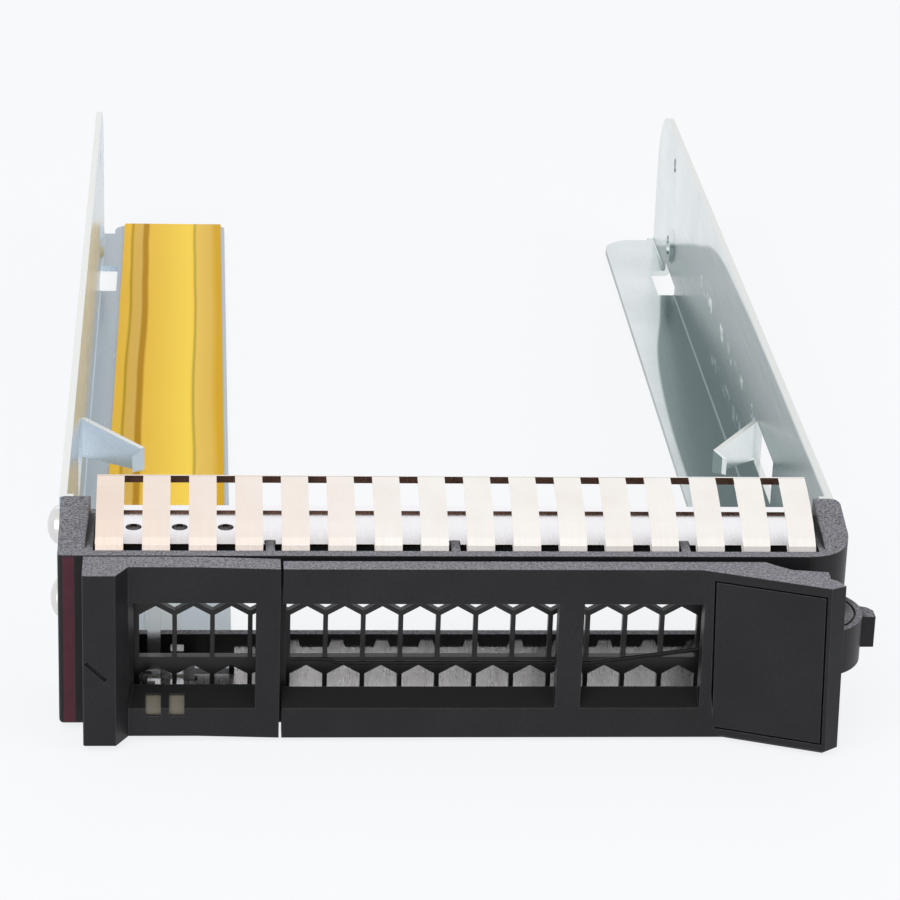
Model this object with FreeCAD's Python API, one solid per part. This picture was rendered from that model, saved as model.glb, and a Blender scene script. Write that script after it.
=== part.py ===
"""Hot swap drive caddy for a 3.5 inch drive.

Frame while modelling: X across (0 on the drive's centre line), Y from the front
face (0) towards the connector end, Z up from the underside of the rail flanges.
Every piece is moved at export, so that the origin is the middle of the bottom.
"""
import FreeCAD
import Part

import math
import os

V = FreeCAD.Vector

# ------------------------------------------------------------------ the drive
DRIVE_W = 101.6            # width of a 3.5 inch drive
DRIVE_H = 26.1             # its height
DRIVE_L = 147.0            # its length
DRIVE_FRONT = 55.85        # front end of the drive
DRIVE_SEAT = 0.4           # film and flex under the drive
SCREW_FROM_REAR = 28.5     # side screw ahead of the drive's connector end
SCREW_UP = 6.35            # side screw above the drive's underside
SCREW_HOLE_R = 2.0         # clearance hole for a side screw
DISH_R = 3.4               # pressed dish round the screw hole
DISH_IN = 0.6

# ------------------------------------------------------------------ the rails
SHEET = 1.0                # steel sheet
SIDE_GAP = 0.7             # drive to rail wall
TOP_GAP = 0.3              # rail wall above the drive
WALL_SHORT = 4.85          # rail walls end ahead of the drive's connector end
WALL_CORNER_R = 12.0       # rounded top corner at the rear of a wall
LEFT_FLANGE_W = 23.3
RIGHT_FLANGE_W = 10.7
RIGHT_FLANGE_SHORT = 5.85
LEFT_FLANGE_R = 1.5
RIGHT_FLANGE_R = 5.5
SLOT_BACK = 31.0           # slot through the bend starts this far ahead of the wall's end
SLOT_LENGTH = 13.0
SLOT_W = 3.9
SLOT_UP = 2.6
PEEP_BACK = 22.5           # small round hole high in the wall
PEEP_Z = 22.7
PEEP_R = 1.3
TAB_BEHIND = 16.65         # fold of the spring tab behind the drive's front end
TAB_WINDOW = 16.5
TAB_Z0 = 8.8
TAB_Z1 = 15.0
TAB_IN = {-1: 9.0, 1: 7.1}  # how far the left and the right tab lean in
TAB_FORWARD = 8.5
TAB_TIP_DROP = 1.3         # the tab narrows towards its tip
TAB_T = 0.8
HEM = 0.9                  # small rolled hem at the front top corner of a wall

# ---------------------------------------------------------- the moulded frame
FRAME_RIGHT_OUT = 0.7      # frame beyond the right rail
FRAME_LEFT_IN = 0.2        # frame inside the left rail
FRAME_FRONT = -0.2
FRAME_REAR = 13.6
FRAME_BOTTOM = 0.7
FRAME_TOP = 25.45
LEDGE_T = 2.05
FLOOR_T = 1.5
FRONT_WALL_T = 1.2
REAR_BAR_T = 1.3
REAR_BAR_H = 7.3
TOP_BAR_H = 4.85
POST_W = 3.6
MOUTH_IN = 6.1             # front mouth starts this far right of the left post
POST_TAPER = 0.4           # the left post is wider at the rear
POST_RISE = 2.45           # end posts rise to the rear
FRONT_CORNER_R = 6.0
LUG_REAR = 30.0            # lugs inside the rails
LUG_W = 5.0
LUG_Z0 = 3.0
LUG_Z1 = 18.8
RAIL_SCREW_Y = 24.5
RAIL_SCREW_Z = (7.0, 15.0)
RAIL_SCREW_R = 1.25
RAIL_SCREW_HEAD_R = 2.2
RAIL_SCREW_HEAD_T = 0.5
STRIP_W = 1.5              # coloured touch strip at the left end
STRIP_INSET = 0.65
STRIP_DEPTH = 0.8

# ------------------------------------------------------------- spring strips
FOIL = 0.3                 # spring metal
FINGERS = 16
FINGER_W = 3.65
FINGER_ROOM = 1.3          # end post to the first finger
FINGER_RISE = 5.35         # crest above the ledge
FINGER_CURL = ((0.6, 0), (0, 0), (-0.5, -0.25), (-1.1, -0.75), (-1.65, -0.6), (-1.9, 0),
               (-1.6, 0.65), (-0.7, 1.35))      # line of a finger's curl from the plate's front edge
FINGER_SLOPE = ((0.163, 0.5), (0.458, 0.736), (0.754, 0.909), (1, 1))   # then shares of the way to the crest
LIP_H = 0.85               # lip that joins the fingers behind the crest
LAND_RISE = 0.37           # raised land at the strip's rear edge
CREST_Y = 14.0
PLATE_FRONT = 3.85
PLATE_HOLE_R = 1.08
PLATE_HOLE_Y = 9.3
SLOT_FRONT = 1.4           # front edge of the slot in the ledge
SLOT_DEPTH = 1.5
APRON_SHORT = 1.0          # apron of the bottom strip ends ahead of the rear bar
NUB_GAPS = (3, 7, 12)      # gaps between fingers that hold a nub
NUB_SHIFT = 0.3
NUB_W = 1.2
NUB_REAR = 4.9

# -------------------------------------------------------------- lever, latch
PIVOT_IN = 4.5             # lever axis inside the rail's outer face
PIVOT_Y = 2.6
PIN_R = 1.5
PIN_GAP = 0.05             # running clearance on the pin
HUB_R = 7.3
HUB_H = 6.45
HUB_GAP = 0.45
HOOK_REACH = 9.3           # ejector hook beyond the pivot
HOOK_H = 4.5
HOOK_TIP = ((0, 2.0), (0.7, 3.0), (1.9, 3.5))    # its rounded tip, inward and back
HOOK_ROOT = (2.0, 5.2)     # its root on the hub
LEVER_T = 2.6
LEVER_FRONT = -3.8
LEVER_BOTTOM = 0.5
LEVER_TOP = 25.15
WINDOW_TOP = 20.15
LIP_TOP = 4.85             # top of the front lip under the windows
SILL_TOP = 6.8             # rear edge of the sloping sill
MULLION_W = 3.35           # upright between the lever's two windows
WINDOW_2_W = 16.0
WINDOW_TO_PIVOT = 15.0     # right edge of the second window to the lever's axis
GRIP_PAST_PIVOT = 0.6      # grip's front corner beyond the axis
GRIP_OUT = 5.9             # how far the grip flares forward
GRIP_TIP = (2.0, 0.95)     # the grip's tip from its front corner, across and back
GRIP_TURN = (0.85, 1.4)    # how much of the lean the tip follows, across and back
GRIP_RETURN = ((0.85, 1.65), (1.65, 2.15))      # round from the tip to the rear
GRIP_BACK = ((-0.4, -0.6), (4.3, 0.1), (6.0, 1.3))  # its rear, inward from the corner and from the front
GRIP_ROOT = 7.6            # where the grip joins the lever's bar
GRIP_KINK = 0.6            # the flare starts this far left of the window's right edge
GRIP_LEAN = 0.95           # the flare lies further right at the bottom
GRIP_FALL = 0.95           # and further back, as a share of the lean
SEAM = 0.35                # seam between fascia and lever
FASCIA_FROM_RAIL = 3.6     # fascia's left end inside the rail's outer face
FASCIA_W = 25.8
FASCIA_REAR = -0.5
FASCIA_TILT = 0.28         # the fascia's left half sits this much higher
FALL_SHARE = 0.42          # share of its width over which it comes down to the seam
CHEEK_SLANT = 0.65         # left cheek of its window, front to rear
SEAM_COVER = 0.55          # the frame's upright overlaps both sides of the seam
BLOCK_W = 4.3
MARK_L = 3.78              # slanted mark on the thumb block
MARK_W = 0.6
MARK_DEPTH = 0.5
MARK_ANGLE = 44
GROOVE_W = 0.26            # outline groove on the grip
GROOVE_DEPTH = 0.12
GROOVE_LEFT = 1.6          # groove from the flare's left edge
GROOVE_RIGHT = 0.5
GROOVE_TOP = 1.3
GROOVE_BOTTOM = 1.2
BLOCK_OUT = 2.85           # thumb block proud of the fascia
BLOCK_CHAMFER = 1.6
LATCH_TRAVEL = 2.0
STEM_W = 1.6               # stem that guides the fascia in the frame, and its head
STEM_H = 3.0
HEAD_W = 2.2
HEAD_H = 6.0
STEM_2_W = 1.5             # second stem near the seam
STEM_2_H = 1.2
TONGUE_IN = 0.2            # catch tongue from the lever's left end
TONGUE_W = 1.6
TONGUE_H = 1.4
SLIDE_GAP = 0.2
WIRE_R = 0.3               # lever spring wire
WIRE_Z = 10.05
COIL_R = 0.95              # latch spring
COIL_WIRE_R = 0.18
COIL_PITCH = 1.2
SPRING_REACH = 14.3        # latch spring's anchored end from the seam
SPRING_L = 9.1
WIRE_STEP_AT = 6.35        # bend of the lever spring from the lever's left end
WIRE_STEP = 0.55
WIRE_RISE = 2.55

# ------------------------------------------------------------- front grille
GRILLE_Y = 2.2
GRILLE_T = 1.2
CELL_PITCH = 5.02
CELL_W = 4.4
CELL_FIRST = 3.12          # first cell's middle from the grille's open left edge
ROW_PEAK = 17.0            # peaks of the tall cells
ROW_BOTTOM = 9.5
LOW_PEAK = 8.3             # peaks of the low cells
LOW_BOTTOM = 3.3

# ------------------------------------------------------------------- lights
LIGHTS_IN = (9.15, 12.25)  # middles of the two lights from the fascia's left end
LIGHT_W = 1.75
LIGHT_Z0 = 2.7
LIGHT_Z1 = 4.9
LIGHT_FIN_TOP = (16.5, 9.0)
LENS_W = 2.0               # clear lens in the sill in front of each light
LENS_Z0 = 3.74
LENS_Z1 = 5.98
LENS_LOW = 0.81            # height of its front edge
LENS_IN = 0.45             # behind the front face
LENS_BEVEL = 1.1
LENS_UNDER = 0.23          # top of the lens under the slope
LED_BOARD_Y = 9.4
LED_BOARD_T = 1.0
LED_BOARD_TOP = 5.2
LED_BOARD_ROOM = 0.3       # round the board where it passes the bottom spring strip
FLEX_T = 0.2
FILM_T = 0.15
FILM_W = 17.9
FILM_EDGE = 0.7            # film from the flange's inner edge
FLEX_INSET = 1.3
FLEX_LEAD_W = 5.0          # narrow lead from the board to the wide part
FILM_FRONT = 45.0

# --------------------------------------------------------- side contact domes
DOMES = ((19.1, 24.4, 1.8), (8.2, 13.6, 1.5))   # bottom, top, height
DOME_Y0 = 14.6
DOME_Y1 = 21.4

# --------------------------------------------------------------- worked out
RAIL_X = DRIVE_W / 2 + SIDE_GAP + SHEET
WALL_X = RAIL_X - SHEET
WALL_TOP = SHEET + DRIVE_SEAT + DRIVE_H + TOP_GAP
SCREW_Z = SHEET + DRIVE_SEAT + SCREW_UP
LEFT_FLANGE_END = DRIVE_FRONT + DRIVE_L
RAIL_END = LEFT_FLANGE_END - WALL_SHORT
RIGHT_FLANGE_END = LEFT_FLANGE_END - RIGHT_FLANGE_SHORT
SCREW_Y = LEFT_FLANGE_END - SCREW_FROM_REAR
SLOT_Y0 = RAIL_END - SLOT_BACK
PEEP_Y = RAIL_END - PEEP_BACK
TAB_FOLD_Y = DRIVE_FRONT + TAB_BEHIND
FRAME_LEFT = -RAIL_X + FRAME_LEFT_IN
FRAME_RIGHT = RAIL_X + FRAME_RIGHT_OUT
CEILING = FRAME_TOP - LEDGE_T
FLOOR = FRAME_BOTTOM + FLOOR_T
FRONT_WALL_REAR = FRAME_FRONT + FRONT_WALL_T
TOP_BAR_Z = FRAME_TOP - TOP_BAR_H
POST_LEFT_X = FRAME_LEFT + POST_W
POST_RIGHT_X = FRAME_RIGHT - POST_W
MOUTH_LEFT = POST_LEFT_X + MOUTH_IN
PIVOT_X = RAIL_X - PIVOT_IN
HUB_Z0 = (FRAME_TOP + FRAME_BOTTOM - HUB_H) / 2
HUB_Z1 = HUB_Z0 + HUB_H
POCKET_X = PIVOT_X - HUB_R - 0.8
BAY_X1 = POCKET_X - 2.2
POCKET_REAR = PIVOT_Y + HOOK_REACH + 0.7
LEVER_REAR = LEVER_FRONT + LEVER_T
FASCIA_LEFT = -RAIL_X + FASCIA_FROM_RAIL
FASCIA_RIGHT = FASCIA_LEFT + FASCIA_W
LEVER_LEFT = FASCIA_RIGHT + SEAM
WINDOW_2_RIGHT = PIVOT_X - WINDOW_TO_PIVOT
WINDOW_2_LEFT = WINDOW_2_RIGHT - WINDOW_2_W
WINDOW_1_RIGHT = WINDOW_2_LEFT - MULLION_W
GRIP_X1 = PIVOT_X + GRIP_PAST_PIVOT
KINK_X = WINDOW_2_RIGHT - GRIP_KINK
LIGHT_X = tuple(FASCIA_LEFT + inset for inset in LIGHTS_IN)
BLOCK_FRONT = LEVER_FRONT - BLOCK_OUT
PLATE_TOP = FRAME_TOP - 0.15
LIGHTS_X0 = LIGHT_X[0] - LIGHT_W / 2
LIGHTS_X1 = LIGHT_X[1] + LIGHT_W / 2
FILM_X1 = -RAIL_X + LEFT_FLANGE_W - FILM_EDGE
FILM_X0 = FILM_X1 - FILM_W
FINGER_X0 = POST_LEFT_X + FINGER_ROOM
FINGER_X1 = POST_RIGHT_X - FINGER_ROOM
FINGER_PITCH = (FINGER_X1 - FINGER_X0 - FINGER_W) / (FINGERS - 1)
FINGER_XS = [FINGER_X0 + i * FINGER_PITCH for i in range(FINGERS)]
GAP_XS = [x + (FINGER_PITCH + FINGER_W) / 2 for x in FINGER_XS[:-1]]
NUB_XS = [GAP_XS[i] - NUB_SHIFT for i in NUB_GAPS]
GRIP_FRONT = LEVER_FRONT - GRIP_OUT
DOME_TIP_X = -RAIL_X - max(out for _, _, out in DOMES)
HOOK_TIP_X = PIVOT_X + HOOK_REACH
ORIGIN = V((DOME_TIP_X + HOOK_TIP_X) / 2, (GRIP_FRONT + LEFT_FLANGE_END) / 2, 0)


# ------------------------------------------------------------ shape builders
def box(x0, x1, y0, y1, z0, z1):
    return Part.makeBox(x1 - x0, y1 - y0, z1 - z0, V(x0, y0, z0))


def rod(radius, start, end):
    axis = end - start
    return Part.makeCylinder(radius, axis.Length, start, axis)


def wire_of(points):
    return Part.makePolygon(points + points[:1])


def plan(points, z0, z1):
    """Outline in X and Y, raised from z0 to z1."""
    face = Part.Face(wire_of([V(x, y, z0) for x, y in points]))
    return face.extrude(V(0, 0, z1 - z0))


def profile(points, x0, x1):
    """Outline in Y and Z, drawn out from x0 to x1."""
    face = Part.Face(wire_of([V(x0, y, z) for y, z in points]))
    return face.extrude(V(x1 - x0, 0, 0))


def elevation(points, y0, y1):
    """Outline in X and Z, drawn out from y0 to y1."""
    face = Part.Face(wire_of([V(x, y0, z) for x, z in points]))
    return face.extrude(V(0, y1 - y0, 0))


def ribbon(points, thickness, x0, x1):
    """Sheet of even thickness that follows a line in Y and Z."""
    normals = []
    for (ya, za), (yb, zb) in zip(points, points[1:]):
        length = math.hypot(yb - ya, zb - za)
        normals.append(((za - zb) / length, (yb - ya) / length))
    upper = []
    lower = []
    for i, (y, z) in enumerate(points):
        before = normals[max(i - 1, 0)]
        after = normals[min(i, len(normals) - 1)]
        miter = 1 + before[0] * after[0] + before[1] * after[1]
        dy = (before[0] + after[0]) / miter * thickness / 2
        dz = (before[1] + after[1]) / miter * thickness / 2
        upper.append((y + dy, z + dz))
        lower.append((y - dy, z - dz))
    return profile(upper + lower[::-1], x0, x1)


def edges_along(shape, axis, *tests):
    """Straight edges along an axis whose middle is at the given places."""
    picked = []
    for edge in shape.Edges:
        if edge.Curve.TypeId != "Part::GeomLine":
            continue
        if abs(edge.tangentAt(edge.FirstParameter).dot(axis)) < 0.999:
            continue
        middle = edge.CenterOfMass
        if any(all(abs(getattr(middle, k) - v) < 0.01 for k, v in test.items()) for test in tests):
            picked.append(edge)
    return picked


def fuse(shapes):
    return shapes[0].fuse(shapes[1:]).removeSplitter()


def cut(shape, tools):
    return shape.cut(Part.makeCompound(tools)) if tools else shape


def stem(x, z, width, height, y0, y1, travel, gap):
    """Guide stem of the fascia, or the slot that it slides in when travel and gap are given."""
    return box(x - width / 2 - travel - gap, x + width / 2 + gap, y0, y1, z - height / 2 - gap,
               z + height / 2 + gap)


# ------------------------------------------------------------ moulded frame
def frame_column(top):
    """The frame's outline with its rounded corners, up to a height."""
    block = box(FRAME_LEFT, FRAME_RIGHT, FRAME_FRONT, FRAME_REAR, FRAME_BOTTOM, top)
    up = V(0, 0, 1)
    block = block.makeFillet(0.6, edges_along(block, V(0, 1, 0), dict(x=FRAME_LEFT, z=FRAME_BOTTOM)))
    block = block.makeFillet(FRONT_CORNER_R, edges_along(block, up, dict(x=FRAME_RIGHT, y=FRAME_FRONT)))
    block = block.makeFillet(1.5, edges_along(block, up, dict(x=FRAME_RIGHT, y=FRAME_REAR)))
    return block.makeFillet(0.6, edges_along(block, up, dict(x=FRAME_LEFT, y=FRAME_FRONT)))


def end_posts():
    slope = [(1.8, FRAME_TOP), (FRAME_REAR - 0.3, FRAME_TOP + POST_RISE),
             (FRAME_REAR, FRAME_TOP + POST_RISE), (FRAME_REAR, FRAME_TOP)]
    high = FRAME_TOP + POST_RISE + 1
    left = plan([(FRAME_LEFT, FRAME_FRONT), (POST_LEFT_X - POST_TAPER / 2, FRAME_FRONT),
                 (POST_LEFT_X + POST_TAPER, FRAME_REAR), (FRAME_LEFT, FRAME_REAR)], FRAME_TOP, high)
    right = box(POST_RIGHT_X, FRAME_RIGHT, FRAME_FRONT, FRAME_REAR, FRAME_TOP, high)
    wedges = Part.makeCompound([left, right]).common(profile(slope, FRAME_LEFT, FRAME_RIGHT))
    return wedges.common(frame_column(high))


def lugs():
    return [box(-WALL_X, -WALL_X + LUG_W, FRAME_REAR - 1, LUG_REAR, LUG_Z0, LUG_Z1),
            box(WALL_X - LUG_W, WALL_X, FRAME_REAR - 1, LUG_REAR, LUG_Z0, LUG_Z1)]


def peg():
    """Peg that the latch spring pushes against."""
    x1 = SPRING_X0
    return box(x1 - 1.1, x1, FRAME_FRONT - 2.3, FRAME_FRONT, SPRING_Z - 1.0, SPRING_Z + 0.8)


def seam_upright():
    """Upright in the front mouth that closes the seam between fascia and lever."""
    return box(FASCIA_RIGHT - SEAM_COVER, LEVER_LEFT + SEAM_COVER, FRAME_FRONT, FRONT_WALL_REAR, FLOOR,
               TOP_BAR_Z)


def bezel_frame():
    body = fuse([frame_column(FRAME_TOP)] + end_posts().Solids + lugs() + [peg()])
    outside = 20
    bay_left = POST_LEFT_X
    tools = [
        # room inside, front mouth and rear mouth
        box(bay_left, BAY_X1, FRONT_WALL_REAR, FRAME_REAR - REAR_BAR_T, FLOOR, CEILING),
        cut(box(MOUTH_LEFT, BAY_X1, -outside, FRONT_WALL_REAR, FLOOR, TOP_BAR_Z), [seam_upright()]),
        box(-WALL_X + LUG_W, BAY_X1, FRAME_REAR - REAR_BAR_T, FRAME_REAR + outside,
            FRAME_BOTTOM + REAR_BAR_H, CEILING),
        # room for the hub and the hook
        box(POCKET_X, FRAME_RIGHT + outside, -outside, POCKET_REAR,
            HUB_Z0 - HUB_GAP, HUB_Z1 + HUB_GAP),
        # cored out above and below it from the rear
        box(BAY_X1 + 3, WALL_X - LUG_W - 1, PIVOT_Y + 4.5, FRAME_REAR + outside, FLOOR, HUB_Z0 - 2.2),
        box(BAY_X1 + 3, WALL_X - LUG_W - 1, PIVOT_Y + 4.5, FRAME_REAR + outside, HUB_Z1 + 2.2, CEILING),
        # hinge pin
        rod(PIN_R, V(PIVOT_X, PIVOT_Y, FRAME_BOTTOM - 1), V(PIVOT_X, PIVOT_Y, PIN_TOP)),
        # slot and seat for the top spring strip
        cut(box(FINGER_X0 - 0.3, FINGER_X1 + 0.4, SLOT_FRONT, PLATE_FRONT + 0.1, FRAME_TOP - SLOT_DEPTH,
                FRAME_TOP + 1), nubs()),
        # slides of the fascia and the lever's catch tongue
        stem(GUIDE_X, GUIDE_Z, STEM_W, STEM_H, -outside, FRONT_WALL_REAR, LATCH_TRAVEL, SLIDE_GAP),
        stem(GUIDE_2_X, GUIDE_2_Z, STEM_2_W, STEM_2_H, FRAME_FRONT - 1, FRONT_WALL_REAR, LATCH_TRAVEL,
             SLIDE_GAP),
        box(LEVER_LEFT + TONGUE_IN - 0.15, LEVER_LEFT + TONGUE_IN + TONGUE_W + 0.6, FRAME_FRONT - 1,
            FRONT_WALL_REAR, GUIDE_2_Z - TONGUE_H / 2 - 0.3, GUIDE_2_Z + TONGUE_H / 2 + 0.3),
        # coloured strip
        touch_strip(),
        # way out for the flex
        box(FILM_X0 - 0.3, FILM_X1 + 0.3, FRAME_REAR - REAR_BAR_T - 1, FRAME_REAR + 1, FLOOR, FLOOR + 1.3),
    ]
    seat = box(FINGER_X0 - 0.3, FINGER_X1 + 0.4, PLATE_FRONT, FRAME_REAR + 1,
               PLATE_TOP - FOIL, FRAME_TOP + 1)
    tools.append(cut(seat, nubs()))
    for x0 in (-WALL_X, WALL_X):
        inward = 1 if x0 < 0 else -1
        for z in RAIL_SCREW_Z:
            tools.append(rod(RAIL_SCREW_R, V(x0, RAIL_SCREW_Y, z), V(x0 + inward * 4.0, RAIL_SCREW_Y, z)))
    return cut(body, tools)


def nubs():
    """Small bars across the slot that lock the spring strip."""
    return [box(x - NUB_W / 2, x + NUB_W / 2, SLOT_FRONT - 0.1, NUB_REAR, PLATE_TOP - FOIL, FRAME_TOP)
            for x in NUB_XS]


def touch_strip():
    x0 = FRAME_LEFT + STRIP_INSET
    return box(x0, x0 + STRIP_W, FRAME_FRONT, FRAME_FRONT + STRIP_DEPTH, FRAME_BOTTOM + 0.4, FRAME_TOP - 0.2)


# --------------------------------------------------------------- the grille
def cell(x, bottom, peak):
    """Tall cell with a pointed top, as a tool that cuts through the grille."""
    half = CELL_W / 2
    shoulder = peak - half / math.sqrt(3)
    points = [(x - half, bottom), (x + half, bottom), (x + half, shoulder), (x, peak), (x - half, shoulder)]
    return elevation(points, GRILLE_Y - 1, GRILLE_Y + GRILLE_T + 1)


def upper_cell(x, valley):
    """Six-sided cell of the top row, staggered by half a pitch."""
    half = CELL_W / 2
    low = valley + half / math.sqrt(3)
    side = CELL_W / math.sqrt(3)
    points = [(x, valley), (x + half, low), (x + half, low + side), (x, low + side + half / math.sqrt(3)),
              (x - half, low + side), (x - half, low)]
    return elevation(points, GRILLE_Y - 1, GRILLE_Y + GRILLE_T + 1)


def hex_grille():
    plate = box(POST_LEFT_X, BAY_X1, GRILLE_Y, GRILLE_Y + GRILLE_T, FLOOR + FOIL, CEILING)
    first = MOUTH_LEFT + CELL_FIRST
    right = BAY_X1 - 0.8
    valley = ROW_PEAK - 0.7
    count = int((right - CELL_W / 2 - first) / CELL_PITCH) + 1
    tools = []
    for i in range(count):
        x = first + i * CELL_PITCH
        tools.append(cell(x, ROW_BOTTOM, ROW_PEAK))
        tools.append(cell(x, LOW_BOTTOM, LOW_PEAK))
        if i < count - 1:
            tools.append(upper_cell(x + CELL_PITCH / 2, valley))
    tools.append(box(LIGHTS_X0 - 0.4, LIGHTS_X1 + 0.4, GRILLE_Y - 1, GRILLE_Y + GRILLE_T + 1,
                     FLOOR, LIGHT_Z1 + 0.3))
    return cut(plate, tools)


# ------------------------------------------------------------ spring strips
def top_emi_spring():
    """Plate in the ledge with sprung fingers that curl up and back over it."""
    plate_z = PLATE_TOP - FOIL / 2
    land_z = plate_z + LAND_RISE
    riser_y = CREST_Y + 0.05 + FOIL / 2
    plate = ribbon([(PLATE_FRONT, plate_z), (riser_y, plate_z), (riser_y, land_z), (CREST_Y + 1.75, land_z)],
                   FOIL, FINGER_X0 - 0.1, FINGER_X1 + 0.2)
    crest = FRAME_TOP + FINGER_RISE - FOIL / 2
    finger_line = [(PLATE_FRONT + dy, plate_z + dz) for dy, dz in FINGER_CURL]
    for back, height in FINGER_SLOPE:
        finger_line.append((PLATE_FRONT + back * (CREST_Y - PLATE_FRONT),
                            plate_z + height * (crest - plate_z)))
    fingers = [ribbon(finger_line, FOIL, x, x + FINGER_W) for x in FINGER_XS]
    lip = box(FINGER_X0, FINGER_X1, CREST_Y - 0.1, CREST_Y - 0.1 + FOIL, crest - LIP_H, crest + FOIL / 2)
    strip = fuse([plate, lip] + fingers)
    tools = [rod(PLATE_HOLE_R, V(x, PLATE_HOLE_Y, PLATE_TOP - 1), V(x, PLATE_HOLE_Y, PLATE_TOP + 1))
             for x in GAP_XS[:3]]
    tools += [box(x - NUB_W / 2 - 0.15, x + NUB_W / 2 + 0.15, PLATE_FRONT - 1, NUB_REAR + 0.15,
                  PLATE_TOP - FOIL, FRAME_TOP) for x in NUB_XS]
    return cut(strip, tools)


def bottom_emi_spring():
    """Clips over the frame's floor: plate inside, apron under the light pipes, flat fingers below."""
    x0 = FILM_X1 + 1.0
    x1 = BAY_X1 - 0.4
    plate_z = FLOOR + FOIL / 2
    back_y = FRAME_REAR - REAR_BAR_T - FOIL / 2
    plate_front = GRILLE_Y + GRILLE_T + 0.2
    upstand_top = FRAME_BOTTOM + REAR_BAR_H - 1.8
    inner = ribbon([(plate_front, plate_z), (back_y, plate_z), (back_y, upstand_top)], FOIL, x0, x1)
    apron = box(MOUTH_LEFT, x0 + FOIL, plate_front, back_y - APRON_SHORT, FLOOR, FLOOR + FOIL)
    room = LED_BOARD_ROOM
    board = led_board().BoundBox
    apron = apron.cut(box(board.XMin - room, board.XMax + room, board.YMin - room, board.YMax + room,
                          FLOOR, FLOOR + FOIL))
    under = FRAME_BOTTOM - FOIL / 2
    finger_line = [(plate_front + 0.2, plate_z), (FRAME_FRONT - FOIL / 2, plate_z),
                   (FRAME_FRONT - FOIL / 2, under), (3.0, under - 0.2), (6.0, FOIL / 2), (9.0, under - 0.2),
                   (11.5, under)]
    pieces = [inner, apron]
    for x in FINGER_XS:
        if x > LEVER_LEFT and x + FINGER_W < x1:
            pieces.append(ribbon(finger_line, FOIL, x, x + FINGER_W))
        if x > x0 and x + FINGER_W < x1:
            tab = [(x + 0.7, upstand_top), (x + FINGER_W - 0.7, upstand_top),
                   (x + FINGER_W - 1.0, upstand_top + 1.0), (x + 1.0, upstand_top + 1.0)]
            pieces.append(elevation(tab, back_y - FOIL / 2, back_y + FOIL / 2))
    return fuse(pieces)


def side_contacts():
    """Two pressed domes on the outside of the left rail."""
    domes = []
    y_mid = (DOME_Y0 + DOME_Y1) / 2
    for z0, z1, out in DOMES:
        rings = []
        for angle in (0, 25, 48, 66, 80):
            share = math.cos(math.radians(angle))
            x = -RAIL_X - out * math.sin(math.radians(angle)) / math.sin(math.radians(80))
            ring = Part.Ellipse(V(x, y_mid, (z0 + z1) / 2), (DOME_Y1 - DOME_Y0) / 2 * share,
                                (z1 - z0) / 2 * share).toShape()
            ring.rotate(V(x, y_mid, (z0 + z1) / 2), V(0, 1, 0), 90)
            ring.rotate(V(x, y_mid, (z0 + z1) / 2), V(1, 0, 0), 90)
            rings.append(Part.Wire(ring))
        domes.append(Part.makeLoft(rings, True, True))
    return Part.makeCompound(domes)


# ------------------------------------------------------------- sliding latch
GUIDE_X = FASCIA_LEFT + 3.7
GUIDE_Z = (FRAME_BOTTOM + FRAME_TOP) / 2 - 0.6
GUIDE_2_X = FASCIA_RIGHT - 2.55
GUIDE_2_Z = (TOP_BAR_Z + CEILING) / 2
SPRING_X0 = FASCIA_RIGHT - SPRING_REACH
SPRING_X1 = SPRING_X0 + SPRING_L
SPRING_Z = GUIDE_2_Z + 0.6
SPRING_Y = FASCIA_REAR - 1.25
PIN_TOP = FRAME_TOP - 3.0
HEAD_Y0 = FRONT_WALL_REAR + 0.15
HEAD_T = 0.9


def fascia_window():
    """Mouth with slanted cheeks over a sloping sill."""
    x0 = FASCIA_LEFT + BLOCK_W + BLOCK_CHAMFER
    x1 = FASCIA_RIGHT - 3.15
    front = LEVER_FRONT
    rear = FASCIA_REAR
    sill = [(front - 1, LIP_TOP), (front, LIP_TOP), (rear, SILL_TOP), (rear + 1, SILL_TOP),
            (rear + 1, WINDOW_TOP + 0.1), (front - 1, WINDOW_TOP + 0.1)]
    mouth = profile(sill, x0, x1)
    cheeks = plan([(x0, front - 1), (x1, front - 1), (x1, rear + 1),
                   (x0 + CHEEK_SLANT, rear + 1), (x0 + CHEEK_SLANT, rear), (x0, front)],
                  LEVER_BOTTOM, LEVER_TOP)
    return mouth.common(cheeks)


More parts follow.
